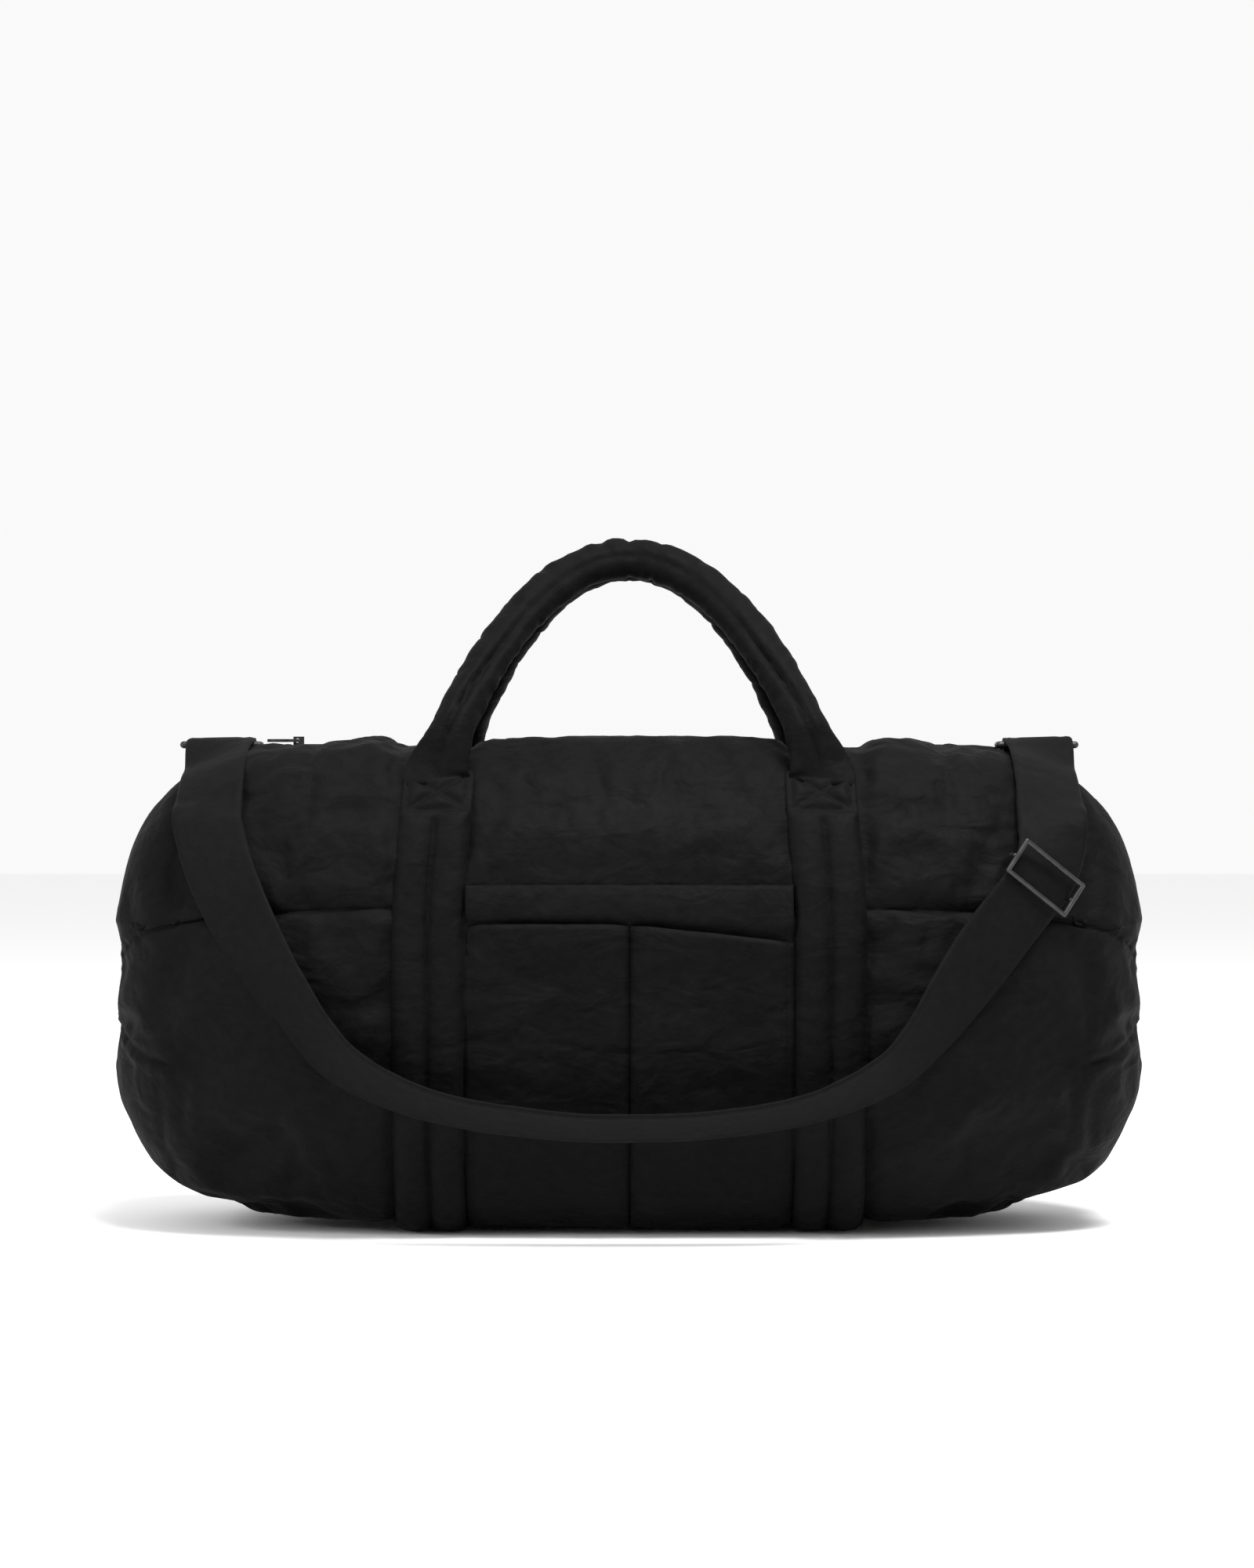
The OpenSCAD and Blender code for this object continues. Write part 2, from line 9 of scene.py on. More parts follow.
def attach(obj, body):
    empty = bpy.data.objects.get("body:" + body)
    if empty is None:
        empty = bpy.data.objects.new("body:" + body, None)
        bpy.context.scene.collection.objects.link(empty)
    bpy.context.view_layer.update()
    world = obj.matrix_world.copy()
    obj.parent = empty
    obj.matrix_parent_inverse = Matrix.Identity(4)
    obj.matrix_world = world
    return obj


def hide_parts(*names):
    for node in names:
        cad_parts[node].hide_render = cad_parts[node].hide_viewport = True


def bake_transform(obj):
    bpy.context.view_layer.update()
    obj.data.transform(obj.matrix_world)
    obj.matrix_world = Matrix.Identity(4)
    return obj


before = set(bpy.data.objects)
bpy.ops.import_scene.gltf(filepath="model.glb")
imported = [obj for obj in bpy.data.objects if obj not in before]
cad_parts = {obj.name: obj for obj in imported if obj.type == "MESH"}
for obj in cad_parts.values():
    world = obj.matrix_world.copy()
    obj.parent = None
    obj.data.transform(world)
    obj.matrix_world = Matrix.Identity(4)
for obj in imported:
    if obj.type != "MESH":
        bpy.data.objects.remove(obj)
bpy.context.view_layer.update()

scene = bpy.context.scene

# The bag's skin, as in the CAD: a superellipsoid with a flat top and base (metres, and degrees round the bag
# from the front's widest line, which is 0, over the top, 90, to the back, 180)
HALF_L = 0.2755  # half its length
HALF_D = 0.130  # half its depth
END_N = 3.9  # how square the ends are
SIDE_N = 2.8  # how square the cross-section is
MID_Z = 0.1325  # height of the widest line
CROWN_H = 0.145  # from there up to the top before flattening
KEEL_H = 0.137  # and down to the base before flattening
TOP_Z = 0.2665
BASE_Z = 0.0035
SOFT_EDGE = 0.003  # how softly the flat top and base begin
END_X = 0.244  # where the end panels begin
MOUTH_X = 0.171  # half the length of the mouth's lips
LIP_GUSSET = 0.125  # beyond this the lips' cloth stretches between lip and bag
SLIT_X = 0.208  # half the length of the zip's slit
SEAM_A = 18.5  # long seam round the bag
LOW_SEAM_A = -20  # short seam on the ends
HINGE_A = 39  # where the lips bend
LIP_A = 86.7  # the lips' edge at the zip
BASE_A = -64  # where the base panel begins
BAND_X = 0.1085
BAND_W = 0.0386
POCKET_HALF = 0.087


# ---------------------------------------------------------------- camera, light, floor
def make_camera():
    """Level camera in front of the bag. The height seen is measured at the bag's front."""
    data = bpy.data.cameras.new("camera")
    data.sensor_width = 36
    distance, height_seen = 2.6, 0.84
    data.lens = data.sensor_width * (distance - HALF_D) / height_seen
    camera = bpy.data.objects.new("camera", data)
    camera.location = (-0.0013, -distance, 0.2465)
    camera.rotation_euler = (math.radians(90), 0, 0)
    scene.collection.objects.link(camera)
    scene.camera = camera


def area_light(name, place, target, size, power):
    """Rectangular light at place, turned to the target."""
    data = bpy.data.lights.new(name, "AREA")
    data.shape = "RECTANGLE"
    data.size, data.size_y = size
    data.energy = power
    light = bpy.data.objects.new(name, data)
    light.location = place
    light.rotation_euler = (Vector(target) - Vector(place)).to_track_quat("-Z", "Y").to_euler()
    scene.collection.objects.link(light)


def make_studio():
    """White world, one light above, a weaker one from the left, and a pale floor."""
    world = bpy.data.worlds.new("studio")
    world.use_nodes = True
    background = world.node_tree.nodes["Background"]
    background.inputs["Color"].default_value = (1, 1, 1, 1)
    background.inputs["Strength"].default_value = 0.95
    scene.world = world
    scene.view_settings.view_transform = "Standard"
    area_light("top_light", (0.4, -0.8, 2.0), (0, 0, 0.15), (1.1, 0.8), 95)
    area_light("left_light", (-1.7, -1.2, 1.0), (0, 0, 0.15), (0.6, 1.0), 26)
    bpy.ops.mesh.primitive_plane_add(size=14, location=(0, 3, 0))
    floor = bpy.context.object
    floor.name = "floor"
    floor.data.materials.append(plain_floor())


# ---------------------------------------------------------------- materials
def new_material(name):
    material = bpy.data.materials.new(name)
    material.use_nodes = True
    nodes = material.node_tree.nodes
    return material, nodes, material.node_tree.links, nodes["Principled BSDF"]


def plain_floor():
    material, _, _, shader = new_material("floor")
    shader.inputs["Base Color"].default_value = (0.93, 0.93, 0.93, 1)
    shader.inputs["Roughness"].default_value = 0.9
    shader.inputs["Specular IOR Level"].default_value = 0.1
    return material


def mapped(nodes, links, scale):
    """Object coordinates, stretched by scale."""
    where = nodes.new("ShaderNodeTexCoord")
    mapping = nodes.new("ShaderNodeMapping")
    mapping.inputs["Scale"].default_value = scale
    links.new(where.outputs["Object"], mapping.inputs["Vector"])
    return mapping.outputs["Vector"]


def noise_node(nodes, links, scale, size, detail=4.0, rough=0.55, distortion=0.0):
    node = nodes.new("ShaderNodeTexNoise")
    node.inputs["Scale"].default_value = size
    node.inputs["Detail"].default_value = detail
    node.inputs["Roughness"].default_value = rough
    node.inputs["Distortion"].default_value = distortion
    links.new(mapped(nodes, links, scale), node.inputs["Vector"])
    return node


def bump_node(nodes, links, height, strength, distance, before=None):
    node = nodes.new("ShaderNodeBump")
    node.inputs["Strength"].default_value = strength
    node.inputs["Distance"].default_value = distance
    links.new(height, node.inputs["Height"])
    if before is not None:
        links.new(before.outputs["Normal"], node.inputs["Normal"])
    return node


def ramp_node(nodes, links, value, stops):
    node = nodes.new("ShaderNodeValToRGB")
    elements = node.color_ramp.elements
    while len(elements) < len(stops):
        elements.new(0.5)
    for element, (position, grey) in zip(elements, stops):
        element.position = position
        element.color = (grey, grey, grey, 1)
    links.new(value, node.inputs["Fac"])
    return node


def crinkled_nylon(name, dark, light, crinkle=1.0):
    """Matt washed nylon: fine weave, small crinkles, blotches of wear in colour and roughness, and painted
    shade that darkens the colour in the crinkles' hollows and lightens their crests.
    """
    material, nodes, links, shader = new_material(name)
    blotch = noise_node(nodes, links, (1, 1, 1), 22, 6, 0.6)
    fine = noise_node(nodes, links, (1, 1, 1.3), 170, 3, 0.5, 0.3)
    folds = noise_node(nodes, links, (0.8, 0.8, 1.25), 48, 2.5, 0.5, 0.7)
    weave = noise_node(nodes, links, (1, 1, 1), 2600, 1, 0.5)
    # The colour mixes the random wear blotches with the fine crinkle noise, which also drives the crinkle
    # bump below: painted shade in the crinkles' hollows and painted light on their crests.
    blotch_and_crinkle_shade = nodes.new("ShaderNodeMath")
    blotch_and_crinkle_shade.operation = "MULTIPLY_ADD"
    links.new(fine.outputs["Fac"], blotch_and_crinkle_shade.inputs[0])
    blotch_and_crinkle_shade.inputs[1].default_value = 0.6
    links.new(blotch.outputs["Fac"], blotch_and_crinkle_shade.inputs[2])
    colour = ramp_node(nodes, links, blotch_and_crinkle_shade.outputs["Value"], [(0.55, dark), (1.0, light)])
    links.new(colour.outputs["Color"], shader.inputs["Base Color"])
    rough = ramp_node(nodes, links, blotch.outputs["Fac"], [(0.3, 0.62), (0.75, 0.8)])
    links.new(rough.outputs["Color"], shader.inputs["Roughness"])
    shader.inputs["Specular IOR Level"].default_value = 0.042
    shader.inputs["Sheen Weight"].default_value = 0.004
    shader.inputs["Sheen Roughness"].default_value = 0.5
    first = bump_node(nodes, links, folds.outputs["Fac"], 0.8 * crinkle, 0.0036)
    second = bump_node(nodes, links, fine.outputs["Fac"], 0.5 * crinkle, 0.0011, first)
    third = bump_node(nodes, links, weave.outputs["Fac"], 0.25, 0.0003, second)
    links.new(third.outputs["Normal"], shader.inputs["Normal"])
    return material


def smooth_metal(name, grey, rough):
    material, nodes, links, shader = new_material(name)
    wear = noise_node(nodes, links, (1, 1, 1), 180, 5, 0.6)
    colour = ramp_node(nodes, links, wear.outputs["Fac"], [(0.35, grey * 0.8), (0.75, grey * 1.25)])
    links.new(colour.outputs["Color"], shader.inputs["Base Color"])
    shader.inputs["Metallic"].default_value = 0.9
    finish = ramp_node(nodes, links, wear.outputs["Fac"], [(0.3, rough), (0.8, rough + 0.15)])
    links.new(finish.outputs["Color"], shader.inputs["Roughness"])
    bump = bump_node(nodes, links, wear.outputs["Fac"], 0.15, 0.0003)
    links.new(bump.outputs["Normal"], shader.inputs["Normal"])
    return material


# ---------------------------------------------------------------- the skin as a function
def raw(x, a, d=0.0):
    """Points of the skin, d outside it, before its top and base are flattened."""
    x, a = np.broadcast_arrays(np.asarray(x, float), np.asarray(a, float))
    c, s = np.cos(np.radians(a)), np.sin(np.radians(a))
    size = np.maximum(1 - (np.abs(x) / (HALF_L + d)) ** END_N, 1e-9) ** (1 / END_N)
    g = (np.abs(c) ** SIDE_N + np.abs(s) ** SIDE_N) ** (1 / SIDE_N)
    h = np.where(s > 0, CROWN_H, KEEL_H) + d
    return np.stack([x, -(HALF_D + d) * size * c / g, h * size * s / g], -1)


def soft_min(v, limit):
    """v, eased to stay below the limit."""
    return limit - SOFT_EDGE * np.logaddexp(0, (limit - v) / SOFT_EDGE)


def settle(p, d=0.0):
    """Flattens the top and base, and lifts the bag onto the floor."""
    z = soft_min(p[..., 2] + MID_Z, TOP_Z + d)
    z = -soft_min(-z, -(BASE_Z - np.minimum(d, BASE_Z)))
    return np.stack([p[..., 0], p[..., 1], z], -1)


def skin(x, a, d=0.0):
    """Points of the skin, d outside it: x along the bag, a in degrees round it."""
    return settle(raw(x, a, d), d)


def project(q):
    """Rays from the middle of the bag, carried out to the skin."""
    h = np.where(q[..., 2] > 0, CROWN_H, KEEL_H)
    side = (np.abs(q[..., 1]) / HALF_D) ** SIDE_N + (np.abs(q[..., 2]) / h) ** SIDE_N
    f = (np.abs(q[..., 0]) / HALF_L) ** END_N + side ** (END_N / SIDE_N)
    return settle(q * f[..., None] ** (-1 / END_N))


END_Y = HALF_D * (1 - (END_X / HALF_L) ** END_N) ** (1 / END_N)


def end_rays(y, a):
    """Points over an end of the bag, in the middle stretch between its two seams."""
    y, a = np.broadcast_arrays(np.asarray(y, float), np.asarray(a, float))
    x = HALF_L * (1 - (np.abs(y) / HALF_D) ** END_N) ** (1 / END_N)
    p = raw(END_X, a)
    t = np.abs(y) / END_Y
    z = p[..., 2] * x / END_X * (1 - t) + p[..., 2] * t
    return np.stack([x, y * np.abs(p[..., 1]) / END_Y, z], -1)


def coons(low, high, first, last):
    """Grid of points between four edges."""
    v = np.linspace(0, 1, len(first))[:, None, None]
    u = np.linspace(0, 1, len(low))[None, :, None]
    across = low[None] * (1 - v) + high[None] * v
    along = first[:, None] * (1 - u) + last[:, None] * u
    corners = (low[0] * (1 - u) + low[-1] * u) * (1 - v) + (high[0] * (1 - u) + high[-1] * u) * v
    return across + along - corners


def bump_at(d, width):
    """1 at distance 0, fading out over the width."""
    return np.exp(-((d / width) ** 2))


def smooth(v, low, high):
    """0 up to low, 1 from high on, eased between."""
    t = np.clip((v - low) / (high - low), 0, 1)
    return t * t * (3 - 2 * t)


def rough_noise(points, size, seed=0.0, stretch=(1, 1, 1)):
    """Perlin noise at each point, -1 to 1, features of about size metres."""
    k = np.array(stretch) / size
    return np.array([noise.noise(Vector(p * k) + Vector((seed, seed * 0.7, -seed))) for p in points])


def mesh_object(name, verts, faces, material, smooth_shade=True):
    mesh = bpy.data.meshes.new(name)
    mesh.from_pydata([tuple(v) for v in verts], [], [tuple(f) for f in faces])
    mesh.validate()
    mesh.materials.append(material)
    if smooth_shade:
        mesh.polygons.foreach_set("use_smooth", [True] * len(mesh.polygons))
    obj = bpy.data.objects.new(name, mesh)
    scene.collection.objects.link(obj)
    return obj


def coordinates(obj):
    co = np.empty(len(obj.data.vertices) * 3)
    obj.data.vertices.foreach_get("co", co)
    return co.reshape(-1, 3)


def set_coordinates(obj, co):
    obj.data.vertices.foreach_set("co", np.asarray(co, float).ravel())
    obj.data.update()


def vertex_normals(obj):
    n = np.empty(len(obj.data.vertices) * 3)
    obj.data.vertices.foreach_get("normal", n)
    return n.reshape(-1, 3)


def apply_modifiers(obj):
    bpy.context.view_layer.objects.active = obj
    for modifier in list(obj.modifiers):
        bpy.ops.object.modifier_apply(modifier=modifier.name)


def subdivide(obj, levels=1):
    modifier = obj.modifiers.new("subdivision", "SUBSURF")
    modifier.levels = modifier.render_levels = levels
    apply_modifiers(obj)


def thicken(obj, thickness):
    modifier = obj.modifiers.new("thickness", "SOLIDIFY")
    modifier.thickness = thickness
    modifier.offset = -1
    apply_modifiers(obj)


def grid_faces(m, n, start=0, flip=False):
    firsts = [start + i * n + j for i in range(m - 1) for j in range(n - 1)]
    quads = [(k, k + 1, k + n + 1, k + n) for k in firsts]
    return [q[::-1] for q in quads] if flip else quads


def solid_object(name, verts, faces, material, smooth_shade=True):
    """Closed mesh with its faces turned outward."""
    obj = mesh_object(name, verts, faces, material, smooth_shade)
    mesh = bmesh.new()
    mesh.from_mesh(obj.data)
    bmesh.ops.recalc_face_normals(mesh, faces=mesh.faces)
    mesh.to_mesh(obj.data)
    mesh.free()
    return obj


def cut_out(name, co, faces, material):
    """Object of some faces of a larger mesh, and the numbers of the vertices kept."""
    keep = sorted({v for f in faces for v in f})
    place = {v: i for i, v in enumerate(keep)}
    return mesh_object(name, co[keep], [[place[v] for v in f] for f in faces], material), keep


def slab(outer, inner):
    """Closed solid between two grids of points of the same size."""
    m, n = outer.shape[:2]
    k = m * n
    rim = list(range(n)) + [i * n + n - 1 for i in range(1, m)]
    rim += [(m - 1) * n + j for j in range(n - 2, -1, -1)] + [i * n for i in range(m - 2, 0, -1)]
    faces = grid_faces(m, n) + grid_faces(m, n, k, True)
    faces += [(b, a, a + k, b + k) for a, b in zip(rim, rim[1:] + rim[:1])]
    return np.concatenate([outer.reshape(-1, 3), inner.reshape(-1, 3)]), faces


# ---------------------------------------------------------------- the bag's skin
SIDE_ROWS = np.concatenate([np.linspace(BASE_A, -24, 17), [-21.2, LOW_SEAM_A, -18.8],
                            np.linspace(-16, 15, 12), [17.4, 18.1, SEAM_A, 18.9, 19.6],
                            np.linspace(22, HINGE_A, 8)])
TOP_COLUMNS = np.concatenate([np.linspace(HINGE_A, LIP_A, 21),
                              np.linspace(180 - LIP_A, 180 - HINGE_A, 21)])


def whole_skin():
    """Quad mesh of the closed outer skin, welded from a barrel and two ends."""
    side_x = np.concatenate([np.linspace(0, MOUTH_X, 42), np.linspace(0.1745, SLIT_X, 10),
                             np.linspace(0.212, END_X, 10)])
    xs = np.concatenate([-side_x[:0:-1], side_x])
    top = TOP_COLUMNS
    base = np.linspace(-180 - BASE_A, BASE_A, len(top))
    angles = np.concatenate([SIDE_ROWS, top[1:], 180 - SIDE_ROWS[::-1][1:], base[1:] + 360])
    patches = [raw(xs[None, :], angles[:, None])]
    seam = int(np.where(SIDE_ROWS == SEAM_A)[0][0])
    low = int(np.where(SIDE_ROWS == LOW_SEAM_A)[0][0])
    y = np.linspace(-END_Y, END_Y, len(top))
    upper, middle, lower = SIDE_ROWS[seam:], SIDE_ROWS[low:seam + 1], SIDE_ROWS[:low + 1]
    mirror_y = np.array([1, -1, 1])
    front = raw(END_X, upper)
    patches.append(coons(end_rays(y, SEAM_A), raw(END_X, top), front, front * mirror_y))
    patches.append(end_rays(y[None, :], middle[:, None]))
    front = raw(END_X, lower)
    patches.append(coons(raw(END_X, base[::-1]), end_rays(y, LOW_SEAM_A), front, front * mirror_y))
    verts, faces = [], []
    for patch in patches + [p * np.array([-1, 1, 1]) for p in patches[1:]]:
        faces += grid_faces(*patch.shape[:2], start=sum(len(v) for v in verts))
        verts.append(project(patch).reshape(-1, 3))
    mesh = bmesh.new()
    made = [mesh.verts.new(v) for v in np.concatenate(verts)]
    for f in faces:
        mesh.faces.new([made[i] for i in f])
    bmesh.ops.remove_doubles(mesh, verts=mesh.verts, dist=2e-5)
    bmesh.ops.recalc_face_normals(mesh, faces=mesh.faces)
    return mesh


def skin_object(name, material):
    """The whole skin as an object."""
    mesh = whole_skin()
    shell = bpy.data.meshes.new(name)
    mesh.to_mesh(shell)
    mesh.free()
    shell.materials.append(material)
    shell.polygons.foreach_set("use_smooth", [True] * len(shell.polygons))
    obj = bpy.data.objects.new(name, shell)
    scene.collection.objects.link(obj)
    return obj


def angle_of(p):
    """Degrees round the bag of each point."""
    z = p[:, 2] - MID_Z
    return np.degrees(np.arctan2(z / np.where(z > 0, CROWN_H, KEEL_H), -p[:, 1] / HALF_D))


def seam_depth(p):
    """How far seams pull the skin in, less how far it puffs beside them."""
    a, x = angle_of(p), np.abs(p[:, 0])
    a = np.where(a > 90, 180 - a, np.where(a < -90, -180 - a, a))
    per_degree = 0.0027
    behind_pocket = (p[:, 1] < 0) & (x < POCKET_HALF)
    high = np.abs(a - SEAM_A) * per_degree + behind_pocket * 0.1
    low = np.abs(a - LOW_SEAM_A) * per_degree + (1 - smooth(x, 0.238, 0.248)) * 0.03
    upright = np.abs(x - END_X) + smooth(np.abs(a), 30, 50) * 0.05
    band = np.abs(np.abs(x - BAND_X) - BAND_W / 2)
    pull = 0.0011 * bump_at(high, 0.0012) + 0.0009 * bump_at(low, 0.0013)
    pull = pull + 0.0007 * bump_at(upright, 0.003)
    puff = 0.0012 * (bump_at(high - 0.008, 0.005) + bump_at(low - 0.008, 0.005))
    return pull + 0.002 * bump_at(band, 0.006) - puff


def wrinkles(p):
    """Soft sags, folds near the bands and ends, and small creases."""
    x, a = np.abs(p[:, 0]), np.abs(angle_of(p))
    wide = rough_noise(p, 0.11, 3.1) * 0.0028
    folds = (0.5 - np.abs(rough_noise(p, 0.045, 7.7, (1, 1, 0.55)))) * 0.0030
    creases = (0.45 - np.abs(rough_noise(p, 0.019, 1.3, (1, 1, 1.8)))) * 0.0013
    near_band = bump_at(x - BAND_X - BAND_W / 2 - 0.02, 0.04) + 0.5 * bump_at(x - 0.2, 0.05)
    tight = 0.55 + 0.75 * np.clip(near_band, 0, 1)
    flat_base = 1 - smooth(a, 62, 75) * (p[:, 2] < MID_Z)
    calm = (1 - 0.7 * smooth(x, 0.225, 0.262)) * (1 - 0.5 * (1 - smooth(p[:, 2], 0.02, 0.07)))
    return (wide + folds * tight + creases * (0.4 + tight)) * (0.15 + 0.85 * flat_base) * calm


def simulate_cloth(obj, pinned, frames, pressure, shrink):
    """Blows the pinned cloth out a little and lets spare cloth buckle; the result is applied."""
    group = obj.vertex_groups.new(name="pinned")
    group.add([int(i) for i in np.where(pinned)[0]], 1.0, "REPLACE")
    cloth = obj.modifiers.new("cloth", "CLOTH")
    settings = cloth.settings
    settings.quality = 6
    settings.mass = 0.25
    settings.tension_stiffness = settings.compression_stiffness = 25
    settings.shear_stiffness = 15
    settings.bending_stiffness = 0.6
    settings.vertex_group_mass = "pinned"
    settings.pin_stiffness = 1
    settings.shrink_min = shrink
    settings.use_pressure = True
    settings.uniform_pressure_force = pressure
    settings.effector_weights.gravity = 0
    cloth.collision_settings.use_self_collision = False
    cloth.point_cache.frame_start = 1
    cloth.point_cache.frame_end = frames
    for number in range(1, frames + 1):
        scene.frame_set(number)
    apply_modifiers(obj)
    scene.frame_set(1)


def is_pinned(p):
    """True where seams, bands, pocket, mouth and base hold the cloth."""
    a, x = angle_of(p), np.abs(p[:, 0])
    a = np.where(a > 90, 180 - a, np.where(a < -90, -180 - a, a))
    under_band = np.abs(x - BAND_X) < BAND_W / 2 + 0.001
    seam = np.abs(a - SEAM_A) < 0.9
    low = (np.abs(a - LOW_SEAM_A) < 0.9) & (x > 0.238)
    base = p[:, 2] < BASE_Z + 0.0045
    mouth = (np.abs(a) > LIP_A - 3) | ((np.abs(a - HINGE_A) < 1.5) & (x < MOUTH_X + 0.01))
    mouth |= (np.abs(x - MOUTH_X) < 0.004) & (a > HINGE_A)
    pocket = (p[:, 1] < 0) & (x < POCKET_HALF) & (a < 23)
    return under_band | seam | low | base | mouth | pocket


CLOTH_CAP = 0.006  # the furthest the simulated cloth may move
END_STRETCH = 0.005  # how much longer than the CAD each end is
FLOOR_GAP = 0.0012
SKIN_T = 0.0022
PARTS = ["skin", "front_lip", "back_lip", "front_left_gusset", "front_right_gusset",
         "back_left_gusset", "back_right_gusset", "slit"]


def make_skin(material):
    """The outer cloth: simulated, wrinkled and cut into its parts."""
    obj = skin_object("bag_skin", material)
    start = coordinates(obj)
    simulate_cloth(obj, is_pinned(start), frames=18, pressure=1.4, shrink=-0.05)
    moved = coordinates(obj) - start
    size = np.linalg.norm(moved, axis=1, keepdims=True)
    set_coordinates(obj, start + moved * np.minimum(1, CLOTH_CAP / np.maximum(size, 1e-9)))
    mark_parts(obj, start)
    subdivide(obj)
    co = coordinates(obj)
    push = wrinkles(co) - seam_depth(co)
    co[:, 0] += np.sign(co[:, 0]) * END_STRETCH * smooth(np.abs(co[:, 0]), 0.20, 0.27)
    co = co + vertex_normals(obj) * push[:, None]
    co[:, 2] = np.maximum(co[:, 2], FLOOR_GAP)
    set_coordinates(obj, co)
    return separate(obj)


def part_of(x, a):
    """Name of the part that the skin at (x, a) belongs to."""
    if LIP_A < a < 180 - LIP_A and abs(x) < SLIT_X:
        return "slit"
    if not HINGE_A < a < 180 - HINGE_A or abs(x) >= MOUTH_X:
        return "skin"
    face = "back" if a > 90 else "front"
    if abs(x) <= LIP_GUSSET:
        return face + "_lip"
    return face + ("_right_gusset" if x > 0 else "_left_gusset")


def mark_parts(obj, start):
    """Keeps each face's part in its material index, so that it outlives the subdivision."""
    for _ in PARTS[1:]:
        obj.data.materials.append(obj.data.materials[0])
    for face in obj.data.polygons:
        middle = start[list(face.vertices)].mean(0)
        face.material_index = PARTS.index(part_of(middle[0], angle_of(middle[None])[0]))


def separate(obj):
    """One object for each part but the slit, with the whole skin's normals kept along the cuts."""
    normals = vertex_normals(obj)
    co = coordinates(obj)
    faces = {name: [] for name in PARTS}
    for face in obj.data.polygons:
        faces[PARTS[face.material_index]].append(tuple(face.vertices))
    made = {}
    for name in PARTS[:-1]:
        piece, keep = cut_out(name + "_cloth", co, faces[name], obj.data.materials[0])
        thicken(piece, SKIN_T)
        custom = vertex_normals(piece)
        custom[:len(keep)] = normals[keep]
        piece.data.normals_split_custom_set_from_vertices([tuple(n) for n in custom])
        made[name] = piece
    bpy.data.objects.remove(obj, do_unlink=True)
    return made


# ---------------------------------------------------------------- bands
BAND_TOP_A = 47.6


def to_segment(u, v, a, b):
    """Distance from each point (u, v) to the segment a-b."""
    d = np.array(b) - np.array(a)
    t = np.clip(((u - a[0]) * d[0] + (v - a[1]) * d[1]) / (d @ d), 0, 1)
    return np.hypot(u - a[0] - t * d[0], v - a[1] - t * d[1])


def box_stitches(half_w, low, high):
    """Sides and diagonals of a box of stitches."""
    corners = [(-half_w, low), (half_w, low), (half_w, high), (-half_w, high)]
    sides = list(zip(corners, corners[1:] + corners[:1]))
    return sides + [(corners[0], corners[2]), (corners[1], corners[3])]


def band_height(u, run, seed):
    """Height of the padded band above the skin: u across, -0.5 to 0.5, and run metres from its top."""
    lobes = np.abs(np.sin(2 * np.pi * u)) ** 0.55
    across = u * BAND_W
    place = np.stack([across, run, np.full_like(run, seed)], -1).reshape(-1, 3)
    puffs = rough_noise(place, 0.024, seed, (0.7, 1, 1)).reshape(u.shape)
    puckers = rough_noise(place, 0.009, seed + 2, (0.5, 1, 1)).reshape(u.shape)
    edge = smooth(0.5 - np.abs(u), 0, 0.05)
    padded = 0.0012 + 0.0052 * lobes * edge * (1 + 0.22 * puffs) + 0.0007 * puckers * (1 - lobes)
    boxed = 0.0022 + 0.0016 * edge + 0.0008 * puffs
    box = box_stitches(0.0165, 0.002, 0.0245)
    stitch = np.min([to_segment(across, run, a, b) for a, b in box], axis=0)
    boxed = boxed - 0.0014 * bump_at(stitch, 0.0014) + 0.0012 * edge * bump_at(stitch - 0.005, 0.003)
    share = smooth(run, 0.0265, 0.034)
    return padded * share + boxed * (1 - share)


def make_band(name, side, face, material, seed):
    """One band from its box of stitches down a face and under the base to the middle."""
    top = np.linspace(BAND_TOP_A, 32, 34)
    angles = np.concatenate([top, np.linspace(31.4, -62, 68), np.linspace(-63, -90, 16)])
    us = np.linspace(-0.5, 0.5, 29)
    centre = BAND_X - 0.0050 * smooth(angles, 12, BAND_TOP_A)
    x = centre[:, None] + us[None, :] * BAND_W
    on_skin = skin(x, angles[:, None])
    steps = np.linalg.norm(np.diff(on_skin[:, 14], axis=0), axis=1)
    run = np.concatenate([[0], np.cumsum(steps)])[:, None] + 0 * x
    height = band_height(us[None, :] + 0 * x, run, seed)
    outer = skin(x, angles[:, None], height)
    outer[..., 2] = np.maximum(outer[..., 2], 0.0)
    inner = skin(x, angles[:, None], -0.0015)
    sign = np.array([side, face, 1])
    return solid_object(name, *slab(outer * sign, inner * sign), material)


# ---------------------------------------------------------------- handles
PIVOT_Y = -0.1095
FOOT_Z = 0.2577
FOOT_X = 0.103
HANDLE_R = 0.011
CREST_Y = -0.0115
CREST_Z = 0.373
LEAN = math.atan2(CREST_Y - PIVOT_Y, CREST_Z - FOOT_Z)
ARCH_H = math.hypot(CREST_Y - PIVOT_Y, CREST_Z - FOOT_Z)


def smooth_path(points, spacing):
    """Catmull-Rom curve through the points, resampled to even steps."""
    p = np.array(points, float)
    p = np.concatenate([[2 * p[0] - p[1]], p, [2 * p[-1] - p[-2]]])
    fine = []
    for i in range(1, len(p) - 2):
        for t in np.linspace(0, 1, 24, endpoint=False):
            a, b, c, d = p[i - 1:i + 3]
            fine.append(0.5 * (2 * b + (c - a) * t + (2 * a - 5 * b + 4 * c - d) * t * t
                               + (3 * b - a - 3 * c + d) * t ** 3))
    fine.append(p[-2])
    fine = np.array(fine)
    s = np.concatenate([[0], np.cumsum(np.linalg.norm(np.diff(fine[:, :3], axis=0), axis=1))])
    count = int(round(s[-1] / spacing)) + 1
    even = np.linspace(0, s[-1], count)
    return np.stack([np.interp(even, s, fine[:, k]) for k in range(fine.shape[1])], -1), even


